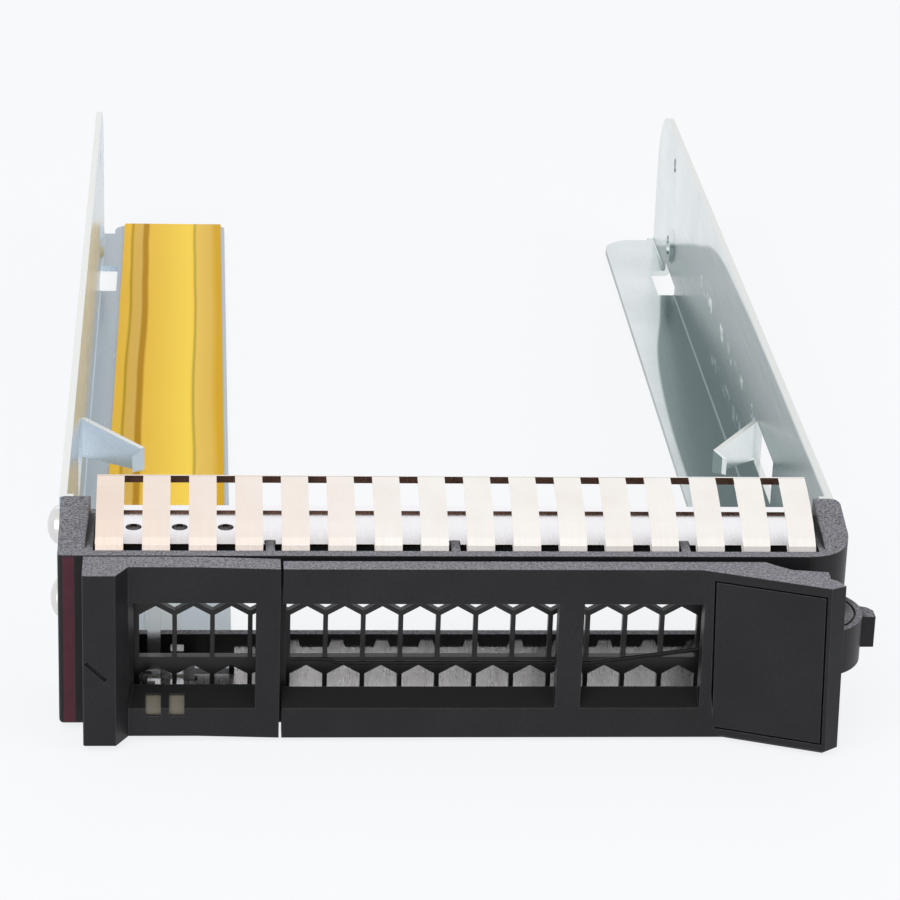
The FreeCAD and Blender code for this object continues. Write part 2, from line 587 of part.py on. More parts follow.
def left_fascia():
    block_right = FASCIA_LEFT + BLOCK_W
    outline = [(FASCIA_LEFT, BLOCK_FRONT), (block_right, BLOCK_FRONT),
               (block_right + BLOCK_CHAMFER, LEVER_FRONT), (FASCIA_RIGHT, LEVER_FRONT),
               (FASCIA_RIGHT, FASCIA_REAR), (FASCIA_LEFT, FASCIA_REAR)]
    body = plan(outline, LEVER_BOTTOM, LEVER_TOP + FASCIA_TILT)
    body = body.makeFillet(0.35, edges_along(body, V(0, 0, 1), dict(x=FASCIA_LEFT, y=BLOCK_FRONT)))
    level = FASCIA_RIGHT - FASCIA_W * FALL_SHARE
    body = body.common(elevation([
        (FASCIA_LEFT, LEVER_BOTTOM + FASCIA_TILT), (level, LEVER_BOTTOM + FASCIA_TILT),
        (FASCIA_RIGHT, LEVER_BOTTOM), (FASCIA_RIGHT, LEVER_TOP), (level, LEVER_TOP + FASCIA_TILT),
        (FASCIA_LEFT, LEVER_TOP + FASCIA_TILT)], BLOCK_FRONT, FASCIA_REAR))
    guides = [
        stem(GUIDE_X, GUIDE_Z, STEM_W, STEM_H, FASCIA_REAR - 0.5, HEAD_Y0 + HEAD_T, 0, 0),
        stem(GUIDE_X, GUIDE_Z, HEAD_W, HEAD_H, HEAD_Y0, HEAD_Y0 + HEAD_T, 0, 0),
        stem(GUIDE_2_X, GUIDE_2_Z, STEM_2_W, STEM_2_H, FASCIA_REAR - 0.5, HEAD_Y0 + HEAD_T, 0, 0),
        stem(GUIDE_2_X, GUIDE_2_Z, STEM_2_W, CEILING - TOP_BAR_Z - 0.4, HEAD_Y0, HEAD_Y0 + HEAD_T, 0, 0),
    ]
    body = fuse([body] + guides)
    tools = [
        fascia_window(),
        # spring pocket, open to the rear
        box(SPRING_X0 - 1.4, SPRING_X1, SPRING_Y - 1.15, FASCIA_REAR + 0.1,
            SPRING_Z - 1.3, SPRING_Z + 1.15),
    ]
    for x in LIGHT_X:
        tools.append(box(x - LENS_W / 2, x + LENS_W / 2, BLOCK_FRONT, FASCIA_REAR + 0.1, LENS_Z0, LENS_Z1))
    tools.append(thumb_mark())
    return cut(body, tools)


def thumb_mark():
    """Short slanted groove on the thumb block."""
    mark = box(-MARK_L / 2, MARK_L / 2, BLOCK_FRONT - 1, BLOCK_FRONT + MARK_DEPTH, -MARK_W / 2, MARK_W / 2)
    mark.rotate(V(0, 0, 0), V(0, 1, 0), MARK_ANGLE)
    mark.translate(V(FASCIA_LEFT + BLOCK_W / 2 - 0.4, 0, GUIDE_Z - 0.85))
    return mark


def light_lens(index):
    """Clear lens in the sill of the fascia, just below the slope."""
    x0 = LIGHT_X[index] - LENS_W / 2
    front = LEVER_FRONT + LENS_IN
    top = LENS_Z1 - LENS_UNDER
    rear = FASCIA_REAR - 0.1
    points = [(front, LENS_Z0), (front, LENS_Z0 + LENS_LOW), (FASCIA_REAR - LENS_BEVEL, top), (rear, top),
              (rear, LENS_Z0)]
    return profile(points, x0, x0 + LENS_W)


def latch_spring():
    length = SPRING_X1 - SPRING_X0 - 2 * COIL_WIRE_R
    helix = Part.makeHelix(COIL_PITCH, length, COIL_R)
    section = Part.Wire(Part.makeCircle(COIL_WIRE_R, V(COIL_R, 0, 0), V(0, 1, 0)))
    coil = Part.Wire(helix.Edges).makePipeShell([section], True, True)
    coil.rotate(V(0, 0, 0), V(0, 1, 0), 90)
    coil.translate(V(SPRING_X0 + COIL_WIRE_R, SPRING_Y, SPRING_Z))
    return coil


# -------------------------------------------------------------------- lever
def grip_outline(z, lean, inset):
    """Plan of the grip at a height: straight flare, short return at its right end."""
    front = LEVER_FRONT
    corner = (GRIP_X1 + lean - inset, GRIP_FRONT + lean * GRIP_FALL + inset)
    kink_x = corner[0] - (front - corner[1]) * (GRIP_X1 - KINK_X) / GRIP_OUT
    tip_x = GRIP_X1 + GRIP_TIP[0] + lean * GRIP_TURN[0] - inset
    tip_y = GRIP_FRONT + GRIP_TIP[1] + lean * GRIP_TURN[1] + inset
    flare = [(kink_x, front), corner, (tip_x, tip_y)]
    flare += [(tip_x - across, tip_y + back) for across, back in GRIP_RETURN]
    rear = [(GRIP_X1 - across, front + back) for across, back in GRIP_BACK]
    rear += [(GRIP_X1 - GRIP_ROOT, LEVER_REAR), (kink_x, LEVER_REAR)]
    return wire_of([V(x, y, z) for x, y in flare + rear])


def grip():
    """Flared grip with a small bevel along its lower edge."""
    bevel = 0.35
    height = LEVER_TOP - LEVER_BOTTOM
    sections = [grip_outline(LEVER_BOTTOM, GRIP_LEAN, bevel),
                grip_outline(LEVER_BOTTOM + bevel, GRIP_LEAN * (1 - bevel / height), 0),
                grip_outline(LEVER_TOP, 0, 0)]
    return Part.makeLoft(sections, True, True)


def grip_groove():
    """Thin outline groove that frames the bare field on the grip."""
    corner = V(KINK_X, LEVER_FRONT, LEVER_TOP)
    run = V(GRIP_X1, GRIP_FRONT, LEVER_TOP) - corner
    length = run.Length
    run.normalize()
    height = LEVER_TOP - LEVER_BOTTOM
    down = V(GRIP_LEAN, GRIP_LEAN * GRIP_FALL, -height)
    down.normalize()
    inward = down.cross(run)
    right = length - GROOVE_RIGHT
    low = height - GROOVE_BOTTOM
    frame = [(GROOVE_LEFT, GROOVE_TOP, 1, 1), (right, GROOVE_TOP, -1, 1), (right, low, -1, -1),
             (GROOVE_LEFT, low, 1, -1)]

    def field(shrink):
        points = [corner + run * (s + shrink * s_in) + down * (d + shrink * d_in) - inward
                  for s, d, s_in, d_in in frame]
        return Part.Face(wire_of(points)).extrude(inward * (1 + GROOVE_DEPTH))

    return field(0).cut(field(GROOVE_W))


def hub():
    return rod(HUB_R, V(PIVOT_X, PIVOT_Y, HUB_Z0), V(PIVOT_X, PIVOT_Y, HUB_Z1))


def ejector_lever():
    x_end = WINDOW_2_RIGHT + 3.6
    sill = [(LEVER_FRONT, LEVER_BOTTOM), (LEVER_REAR, LEVER_BOTTOM), (LEVER_REAR, SILL_TOP),
            (LEVER_FRONT, LIP_TOP)]
    hub_x = PIVOT_X
    arm = [(POCKET_X + 1.3, LEVER_REAR - 1.0), (POCKET_X + 0.9, 1.0), (hub_x, PIVOT_Y + 1),
           (hub_x + 3.0, LEVER_FRONT - 0.2), (hub_x + 1.6, GRIP_FRONT + 2.6), (hub_x + 0.2, GRIP_FRONT + 4.3)]
    hook_mid = (HUB_Z0 + HUB_Z1) / 2
    hook = [(hub_x + HOOK_ROOT[0], PIVOT_Y), (HOOK_TIP_X, PIVOT_Y)]
    hook += [(HOOK_TIP_X - across, PIVOT_Y + back) for across, back in HOOK_TIP]
    hook.append((hub_x + HOOK_ROOT[0], PIVOT_Y + HOOK_ROOT[1]))
    body = fuse([
        box(LEVER_LEFT, x_end, LEVER_FRONT, LEVER_REAR, WINDOW_TOP, LEVER_TOP),
        profile(sill, LEVER_LEFT, x_end),
        box(WINDOW_2_RIGHT, x_end, LEVER_FRONT, LEVER_REAR, LEVER_BOTTOM, LEVER_TOP),
        box(WINDOW_1_RIGHT, WINDOW_2_LEFT, LEVER_FRONT, LEVER_REAR, LIP_TOP - 1, WINDOW_TOP + 1),
        grip(),
        hub(),
        plan(arm, HUB_Z0, HUB_Z1),
        plan(hook, hook_mid - HOOK_H / 2, hook_mid + HOOK_H / 2),
        # catch tongue behind the left end of the top bar
        box(LEVER_LEFT + TONGUE_IN, LEVER_LEFT + TONGUE_IN + TONGUE_W, LEVER_REAR - 0.5,
            FRONT_WALL_REAR - 0.3, GUIDE_2_Z - TONGUE_H / 2, GUIDE_2_Z + TONGUE_H / 2),
    ])
    top = V(PIVOT_X, PIVOT_Y, HUB_Z1)
    ring = Part.makeCylinder(HUB_R - 0.9, 1, top - V(0, 0, 0.25)).cut(
        Part.makeCylinder(HUB_R - 1.2, 2, top - V(0, 0, 0.5)))
    bore = rod(PIN_R + PIN_GAP, V(PIVOT_X, PIVOT_Y, 0), V(PIVOT_X, PIVOT_Y, FRAME_TOP))
    return cut(body, [ring, bore, lever_spring(), grip_groove()])


def lever_hinge_pin():
    return rod(PIN_R, V(PIVOT_X, PIVOT_Y, FRAME_BOTTOM + 0.2), V(PIVOT_X, PIVOT_Y, PIN_TOP))


def lever_spring():
    """Straight leg of spring wire behind the windows, anchored in the hub's arm."""
    y = (LEVER_REAR + FRAME_FRONT) / 2
    step_x = LEVER_LEFT + WIRE_STEP_AT
    route = [V(LEVER_LEFT + 1.2, y, WIRE_Z + WIRE_STEP), V(step_x, y, WIRE_Z + WIRE_STEP),
             V(step_x + 1.0, y, WIRE_Z), V(WINDOW_2_LEFT + 1.5, y, WIRE_Z),
             V(WINDOW_2_RIGHT, y, WIRE_Z + WIRE_RISE - 0.5), V(POCKET_X - 0.4, y, WIRE_Z + WIRE_RISE),
             V(POCKET_X + 3.4, y, WIRE_Z + WIRE_RISE)]
    pieces = [rod(WIRE_R, a, b) for a, b in zip(route, route[1:])]
    pieces += [Part.makeSphere(WIRE_R, p) for p in route[1:-1]]
    return fuse(pieces)


# -------------------------------------------------------------------- rails
def rail(side):
    """L section rail; side is -1 for the left one and 1 for the right one."""
    flange_w = LEFT_FLANGE_W if side < 0 else RIGHT_FLANGE_W
    section = [(-RAIL_X, 0), (-RAIL_X + flange_w, 0), (-RAIL_X + flange_w, SHEET),
               (-WALL_X, SHEET), (-WALL_X, WALL_TOP), (-RAIL_X, WALL_TOP)]
    face = Part.Face(wire_of([V(x, FRAME_REAR, z) for x, z in section]))
    end = max(LEFT_FLANGE_END if side < 0 else RIGHT_FLANGE_END, RAIL_END)
    body = face.extrude(V(0, end - FRAME_REAR, 0))
    along = V(0, 1, 0)
    body = body.makeFillet(SHEET + 0.3, edges_along(body, along, dict(x=-RAIL_X, z=0)))
    body = body.makeFillet(0.3, edges_along(body, along, dict(x=-WALL_X, z=SHEET)))
    if side < 0:
        body = body.cut(box(-RAIL_X - 1, -WALL_X + 2.0, RAIL_END, end + 1, -1, WALL_TOP + 1))
    else:
        body = body.cut(box(-WALL_X + 1.2, 0, RIGHT_FLANGE_END, end + 1, -1, WALL_TOP + 1))
    across = V(1, 0, 0)
    up = V(0, 0, 1)
    body = body.makeFillet(WALL_CORNER_R, [e for e in edges_along(
        body, across, dict(y=RAIL_END, z=WALL_TOP))])
    inner_edge = -RAIL_X + flange_w
    flange_end = LEFT_FLANGE_END if side < 0 else RIGHT_FLANGE_END
    corner_r = LEFT_FLANGE_R if side < 0 else RIGHT_FLANGE_R
    body = body.makeFillet(corner_r, edges_along(body, up, dict(x=inner_edge, y=flange_end)))
    if side < 0:
        body = body.makeFillet(3.0, edges_along(body, up, dict(x=-WALL_X + 2.0, y=flange_end)))
    tools = [box(-RAIL_X - 1, -RAIL_X + SLOT_W, SLOT_Y0, SLOT_Y0 + SLOT_LENGTH, -1, SLOT_UP),
             rod(PEEP_R, V(-RAIL_X - 1, PEEP_Y, PEEP_Z), V(-WALL_X + 1, PEEP_Y, PEEP_Z)),
             box(-RAIL_X - 1, -WALL_X + 0.01, TAB_FOLD_Y - TAB_WINDOW, TAB_FOLD_Y,
                 TAB_Z0 - 0.3, TAB_Z1 + 0.3)]
    hem = box(-RAIL_X, -WALL_X + HEM, FRAME_REAR + 0.05, FRAME_REAR + 0.05 + HEM, WALL_TOP - HEM, WALL_TOP)
    body = fuse([cut(body, tools), tab(side), screw_dish(0), hem])
    body = cut(body, [screw_dish(SHEET), rod(SCREW_HOLE_R, V(-RAIL_X - 1, SCREW_Y, SCREW_Z),
                                             V(-WALL_X + 1, SCREW_Y, SCREW_Z))])
    body = cut(body, [rail_screw(z) for z in RAIL_SCREW_Z])
    if side > 0:
        body = body.mirror(V(0, 0, 0), V(1, 0, 0))
    return body


def screw_dish(sheet_off):
    """Pressed dish round the drive's screw hole: its inside, or its outside one sheet further out."""
    reach = DISH_IN + 0.2
    x = -WALL_X - sheet_off
    return Part.makeCone(DISH_R + 0.2, DISH_R - reach, reach, V(x - 0.2, SCREW_Y, SCREW_Z), V(1, 0, 0))


def tab(side):
    """Spring tab: leans in and forward from the rear edge of its window."""
    fold = V(-WALL_X, TAB_FOLD_Y, 0)
    tip = V(-WALL_X + TAB_IN[side], TAB_FOLD_Y - TAB_FORWARD, 0)
    lean = tip - fold
    lean.normalize()
    thick = V(-lean.y, lean.x, 0) * TAB_T

    def section(place, z0, z1):
        return wire_of([place + V(0, 0, z0), place + thick + V(0, 0, z0), place + thick + V(0, 0, z1),
                        place + V(0, 0, z1)])

    leaf = Part.makeLoft([section(fold, TAB_Z0, TAB_Z1),
                          section(tip, TAB_Z0 + TAB_TIP_DROP, TAB_Z1 - TAB_TIP_DROP)], True, True)
    lip_end = tip + V(-1.2, -1.6, 0)
    lip = Part.makeLoft([section(tip, TAB_Z0 + TAB_TIP_DROP, TAB_Z1 - TAB_TIP_DROP),
                         section(lip_end, TAB_Z0 + TAB_TIP_DROP + 0.4, TAB_Z1 - TAB_TIP_DROP - 0.6)],
                        True, True)
    root = plan([(-RAIL_X, TAB_FOLD_Y + 0.5), (-WALL_X, TAB_FOLD_Y + 0.5),
                 (-WALL_X + thick.x, TAB_FOLD_Y + thick.y), (-WALL_X, TAB_FOLD_Y),
                 (-RAIL_X, TAB_FOLD_Y)], TAB_Z0, TAB_Z1)
    return fuse([leaf, lip, root])


def rail_screw(z):
    """Countersunk screw through the left rail into its lug."""
    head = rod(RAIL_SCREW_HEAD_R, V(-RAIL_X, RAIL_SCREW_Y, z),
               V(-RAIL_X + RAIL_SCREW_HEAD_T, RAIL_SCREW_Y, z))
    shank = rod(RAIL_SCREW_R, V(-RAIL_X, RAIL_SCREW_Y, z), V(-WALL_X + 4.0, RAIL_SCREW_Y, z))
    return fuse([head, shank])


def rail_screws():
    """Two countersunk screws with a straight slot through each rail."""
    left = []
    for z in RAIL_SCREW_Z:
        slot = box(-RAIL_X - 1, -RAIL_X + 0.3, RAIL_SCREW_Y - 1.2, RAIL_SCREW_Y + 1.2, z - 0.2, z + 0.2)
        left.append(rail_screw(z).cut(slot))
    right = [screw.mirror(V(0, 0, 0), V(1, 0, 0)) for screw in left]
    return Part.makeCompound(left + right)


# ------------------------------------------------------- lights and circuit
def led_board():
    return box(POST_LEFT_X + 1.7, LIGHTS_X1 + 1.5, LED_BOARD_Y, LED_BOARD_Y + LED_BOARD_T,
               FLOOR, LED_BOARD_TOP)


def status_leds():
    z = (LIGHT_Z0 + LIGHT_Z1) / 2
    return Part.makeCompound([box(x - 0.8, x + 0.8, LED_BOARD_Y - 0.8, LED_BOARD_Y, z - 0.6, z + 0.6)
                              for x in LIGHT_X])


def light_pipe(index):
    x = LIGHT_X[index]
    half = LIGHT_W / 2
    bar = box(x - half, x + half, FRAME_FRONT - 0.05, LED_BOARD_Y - 0.9, LIGHT_Z0, LIGHT_Z1)
    fin = box(x - half, x + half, GRILLE_Y + GRILLE_T + 1.6, GRILLE_Y + GRILLE_T + 3.6,
              LIGHT_Z1 - 0.5, LIGHT_FIN_TOP[index])
    return fuse([bar, fin])


def light_pipe_clip():
    """Small black clip that sits across both light pipes in front of the grille."""
    y0 = FRONT_WALL_REAR - 0.7
    y1 = y0 + 0.8
    x = LIGHTS_X0 - 0.55
    z = LIGHT_Z1
    return fuse([box(x, LIGHTS_X1 + 0.3, y0, y1, z, z + 0.6),
                 box(x, x + 0.5, y0, y1, z - 1.2, z + 3.0),
                 box(x, x + 1.2, y0, y1, z + 2.6, z + 3.0),
                 box(x, x + 1.6, y0, y1, z + 1.0, z + 1.6)])


def flex_circuit():
    """Narrow lead from the board that widens under the film."""
    z_flat = SHEET + FLEX_T / 2
    z_high = FLOOR + 0.65
    wide_front = FILM_FRONT + 2.0
    lead_x0 = (FILM_X0 + FILM_X1 - FLEX_LEAD_W) / 2
    lead = ribbon([(LED_BOARD_Y + LED_BOARD_T, z_high), (FRAME_REAR + 0.4, z_high),
                   (FRAME_REAR + 4.0, z_flat), (wide_front + 1, z_flat)],
                  FLEX_T, lead_x0, lead_x0 + FLEX_LEAD_W)
    wide = box(FILM_X0 + FLEX_INSET, FILM_X1 - FLEX_INSET, wide_front, LEFT_FLANGE_END - 0.6, SHEET,
               SHEET + FLEX_T)
    return fuse([lead, wide])


def insulator_film():
    z0 = SHEET + FLEX_T
    return box(FILM_X0, FILM_X1, FILM_FRONT, LEFT_FLANGE_END, z0, z0 + FILM_T)


def main():
    pieces = {
        "bezel_frame": bezel_frame(),
        "touch_strip": touch_strip(),
        "hex_grille": hex_grille(),
        "top_emi_spring": top_emi_spring(),
        "bottom_emi_spring": bottom_emi_spring(),
        "side_contacts": side_contacts(),
        "left_fascia": left_fascia(),
        "latch_spring": latch_spring(),
        "ejector_lever": ejector_lever(),
        "lever_hinge_pin": lever_hinge_pin(),
        "lever_spring": lever_spring(),
        "left_rail": rail(-1),
        "right_rail": rail(1),
        "rail_screws": rail_screws(),
        "light_lens_left": light_lens(0),
        "light_lens_right": light_lens(1),
        "led_board": led_board(),
        "status_leds": status_leds(),
        "light_pipe_left": light_pipe(0),
        "light_pipe_right": light_pipe(1),
        "light_pipe_clip": light_pipe_clip(),
        "flex_circuit": flex_circuit(),
        "insulator_film": insulator_film(),
    }
    os.makedirs("parts", exist_ok=True)
    for name, shape in pieces.items():
        shape.translate(ORIGIN * -1)
        shape.exportStep("parts/" + name + ".step")


main()
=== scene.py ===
import bmesh
import bpy
import math
from mathutils import Matrix, Vector


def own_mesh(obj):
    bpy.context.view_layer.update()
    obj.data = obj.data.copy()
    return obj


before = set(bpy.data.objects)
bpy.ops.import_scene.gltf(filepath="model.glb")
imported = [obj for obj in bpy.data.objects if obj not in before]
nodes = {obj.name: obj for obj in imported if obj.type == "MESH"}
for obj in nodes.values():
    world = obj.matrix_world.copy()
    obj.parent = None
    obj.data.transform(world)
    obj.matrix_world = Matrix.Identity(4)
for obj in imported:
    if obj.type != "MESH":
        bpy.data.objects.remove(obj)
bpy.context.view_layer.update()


# Camera: a long lens in front of the bezel, a little to the left and 23 degrees above it,
# tilted by 2 degrees about its own axis.
LENS = 138.03
SENSOR = 36
NEAREST = 0.01
CAMERA_AT = Vector((-0.035583, -0.509672, 0.213575))
DOWN = math.radians(22.6641)
TURN = math.radians(4.5418)
ROLL = math.radians(2.0090)
forward = Vector((math.sin(TURN) * math.cos(DOWN), math.cos(TURN) * math.cos(DOWN), -math.sin(DOWN)))
level = Vector((math.cos(TURN), -math.sin(TURN), 0))
upright = level.cross(forward)
right = math.cos(ROLL) * level + math.sin(ROLL) * upright
up = -math.sin(ROLL) * level + math.cos(ROLL) * upright
camera_data = bpy.data.cameras.new("camera")
camera_data.lens = LENS
camera_data.sensor_width = SENSOR
camera_data.clip_start = NEAREST
camera = bpy.data.objects.new("camera", camera_data)
camera.matrix_world = Matrix.Translation(CAMERA_AT) @ Matrix((
    (right.x, up.x, -forward.x, 0),
    (right.y, up.y, -forward.y, 0),
    (right.z, up.z, -forward.z, 0),
    (0, 0, 0, 1)))
bpy.context.scene.collection.objects.link(camera)
bpy.context.scene.camera = camera
bpy.context.scene.view_settings.view_transform = "Standard"


# World: a pale sweep all round under a slightly darker ceiling. Camera and transmission rays
# see the sweep, glossy rays see it fade into the ceiling, and the rest is plain white light.
BACKDROP = "fafbfd"
CEILING = "f6f4f2"
CEILING_STARTS = 0.42       # height of a direction, where straight up is 1
CEILING_FULL = 0.85
AMBIENT = "fbfcff"
AMBIENT_STRENGTH = 0.62


def rgb(code):
    """Linear colour with alpha from an sRGB hex code."""
    values = [int(code[i:i + 2], 16) / 255 for i in (0, 2, 4)]
    linear = [v / 12.92 if v <= 0.04045 else ((v + 0.055) / 1.055) ** 2.4 for v in values]
    return (*linear, 1.0)


def connect(tree, target, inputs):
    """Fills a node's inputs: each takes a value, an output, or a node for its first output."""
    for key, value in inputs.items():
        if isinstance(value, bpy.types.Node):
            value = next(output for output in value.outputs if output.enabled)
        if isinstance(value, bpy.types.NodeSocket):
            tree.links.new(value, target.inputs[key])
        else:
            target.inputs[key].default_value = value


def node(tree, kind, inputs, **settings):
    """Adds a shader node with its settings and fills its inputs."""
    made = tree.nodes.new("ShaderNode" + kind)
    for name, value in settings.items():
        setattr(made, name, value)
    connect(tree, made, inputs)
    return made


world = bpy.data.worlds.new("studio")
bpy.context.scene.world = world
world.use_nodes = True
tree = world.node_tree
tree.nodes.clear()
path = node(tree, "LightPath", {})
direction = node(tree, "SeparateXYZ", {0: node(tree, "TexCoord", {}).outputs["Generated"]})
height = node(tree, "MapRange", {"Value": direction.outputs["Z"], "From Min": CEILING_STARTS,
                                 "From Max": CEILING_FULL}, interpolation_type="SMOOTHSTEP")
overhead = node(tree, "Mix", {"Factor": height, "A": rgb(BACKDROP), "B": rgb(CEILING)}, data_type="RGBA")
seen = node(tree, "Math", {0: path.outputs["Is Camera Ray"], 1: path.outputs["Is Transmission Ray"]},
            operation="MAXIMUM")
ambient = node(tree, "Background", {"Color": rgb(AMBIENT), "Strength": AMBIENT_STRENGTH})
reflected = node(tree, "Background", {"Color": overhead, "Strength": 1.0})
backdrop = node(tree, "Background", {"Color": rgb(BACKDROP), "Strength": 1.0})
sky = node(tree, "MixShader", {0: path.outputs["Is Glossy Ray"], 1: ambient, 2: reflected})
sky = node(tree, "MixShader", {0: seen, 1: sky, 2: backdrop})
node(tree, "OutputWorld", {"Surface": sky})


# Lamps: a broad soft key from the front left, a weaker fill from the right, and one from
# behind that lights the tops but isn't mirrored in the metal.
for name, place, size, power in (("key", (-0.45, -0.75, 0.75), 0.9, 7.5),
                                 ("fill", (0.8, -0.5, 0.55), 0.8, 3.0),
                                 ("back", (0.1, 1.0, 0.75), 0.9, 2.5)):
    lamp_data = bpy.data.lights.new(name, "AREA")
    lamp_data.size = size
    lamp_data.energy = power
    lamp = bpy.data.objects.new(name, lamp_data)
    lamp.location = place
    lamp.rotation_euler = (-Vector(place)).to_track_quat("-Z", "Y").to_euler()
    lamp.visible_glossy = name != "back"
    bpy.context.scene.collection.objects.link(lamp)


# Floor: a pale sheet just under the rails. It glows like the backdrop, so that it has no
# horizon, and a small share of it is lit, so that it holds a faint shadow of the object.
MM = 0.001
FLOOR_REACH = 6.0
FLOOR_GAP = 0.2 * MM
FLOOR_LIT = "f0f1f3"
GLOW_SHARE = 0.86
GLOW_STRENGTH = 0.99
floor_mesh = bpy.data.meshes.new("floor")
sheet = bmesh.new()
bmesh.ops.create_grid(sheet, x_segments=1, y_segments=1, size=FLOOR_REACH)
sheet.to_mesh(floor_mesh)
sheet.free()
floor = bpy.data.objects.new("floor", floor_mesh)
floor.location.z = -FLOOR_GAP
bpy.context.scene.collection.objects.link(floor)
pale = bpy.data.materials.new("floor_pale")
pale.use_nodes = True
tree = pale.node_tree
tree.nodes.clear()
path = node(tree, "LightPath", {})
seen = node(tree, "Math", {0: path.outputs["Is Camera Ray"], 1: path.outputs["Is Transmission Ray"]},
            operation="MAXIMUM")
seen = node(tree, "Math", {0: seen, 1: path.outputs["Is Glossy Ray"]}, operation="MAXIMUM")
share = node(tree, "Math", {0: seen, 1: GLOW_SHARE}, operation="MULTIPLY")
lit = node(tree, "BsdfDiffuse", {"Color": rgb(FLOOR_LIT)})
glow = node(tree, "Emission", {"Color": rgb(BACKDROP), "Strength": GLOW_STRENGTH})
mixed = node(tree, "MixShader", {0: share, 1: lit, 2: glow})
node(tree, "OutputMaterial", {"Surface": mixed})
floor_mesh.materials.append(pale)


# Bezel frame, release slide and lever: black ABS, injection moulded against a spark-eroded
# tool. Fronts are nearly smooth and satin, tops have a fine grain and are painted grey as
# painted light from above, and the sloping sills are coarse and painted deep black as painted
# shade. Edges are rounded a little and carry a pale painted highlight.
BLACK = "131315"
BLACK_CLOUDED = "1d1d1f"
# painted shade: the sloping sills are painted a deeper black
SILL_PAINTED_SHADE_BLACK = "060607"
# painted light: the tops are painted grey as if lit from above, with paler specks from the grain
TOP_PAINTED_LIGHT_GREY = "4c4c50"
TOP_PAINTED_LIGHT_SPECK = "8e8e94"
# painted highlight along the rounded edges
EDGE_HIGHLIGHT_GREY = "58585c"
TOP_FROM, TOP_FULL = 0.955, 0.98        # how far upwards a top face looks, where 1 is straight up
SILL_FROM, SILL_FULL = 0.55, 0.75       # the same for a sloping sill
GRAIN = 0.28 * MM           # real grain is about 0.1 mm; drawn coarser so that it shows
GRAIN_DEPTH = 0.05 * MM
GRAIN_STRENGTH = 0.22       # on the fronts
DEEPER_GRAIN = 0.55         # added on faces that look up more than the next value
DEEPER_FROM = 0.30
CLOUD = 9.0 * MM            # size of the faint clouding of a moulded face
# painted shade: this close to a wall a top is left black instead of painted light grey
CREVICE = 2.5 * MM          # a top keeps its deep black this close to a wall
CREVICE_OPEN, CREVICE_CLEAR = 0.68, 0.92
EDGE = 0.14 * MM
FRONT_ROUGHNESS = 0.44
ROUGHER_TOP = 0.16
ROUGHER_SILL = 0.35
ABS_IOR = 1.52


def finish(name, *pieces):
    """New material on the named CAD pieces: its node tree, shader and object coordinates."""
    material = bpy.data.materials.new(name)
    material.use_nodes = True
    tree = material.node_tree
    for piece in pieces:
        slots = nodes[piece].data.materials
        for i in range(len(slots)):
            slots[i] = material
    return tree, tree.nodes["Principled BSDF"], node(tree, "TexCoord", {})


def grain_and_painted_light_colour(tree, grain, cloud, top, sill):
    """Clouded black on the fronts, painted shade of deeper black on the sills, speckled grey painted light on
    the tops.
    """
    tone = node(tree, "Math", {0: grain, 1: cloud}, operation="MULTIPLY")
    tone = node(tree, "MapRange", {"Value": tone, "From Min": 0.12, "From Max": 0.40})
    colour = node(tree, "Mix", {"Factor": tone, "A": rgb(BLACK), "B": rgb(BLACK_CLOUDED)}, data_type="RGBA")
    colour = node(tree, "Mix", {"Factor": sill, "A": colour, "B": rgb(SILL_PAINTED_SHADE_BLACK)}, data_type="RGBA")
    speckle = node(tree, "MapRange", {"Value": grain, "From Min": 0.35, "From Max": 0.65})
    grey = node(tree, "Mix", {"Factor": speckle, "A": rgb(TOP_PAINTED_LIGHT_GREY), "B": rgb(TOP_PAINTED_LIGHT_SPECK)},
                data_type="RGBA")
    return node(tree, "Mix", {"Factor": top, "A": colour, "B": grey}, data_type="RGBA")


def painted_edge_highlight(tree, colour, rounded):
    """The colour with a painted highlight, paler where the rounded normal turns away from the flat face."""
    flat = node(tree, "NewGeometry", {})
    turned = node(tree, "VectorMath", {0: rounded, 1: flat.outputs["Normal"]}, operation="DOT_PRODUCT")
    scuff_and_highlight_mask = node(tree, "MapRange", {"Value": turned, "From Min": 0.99, "From Max": 0.90, "To Max": 0.5})
    return node(tree, "Mix", {"Factor": scuff_and_highlight_mask, "A": colour, "B": rgb(EDGE_HIGHLIGHT_GREY)}, data_type="RGBA")


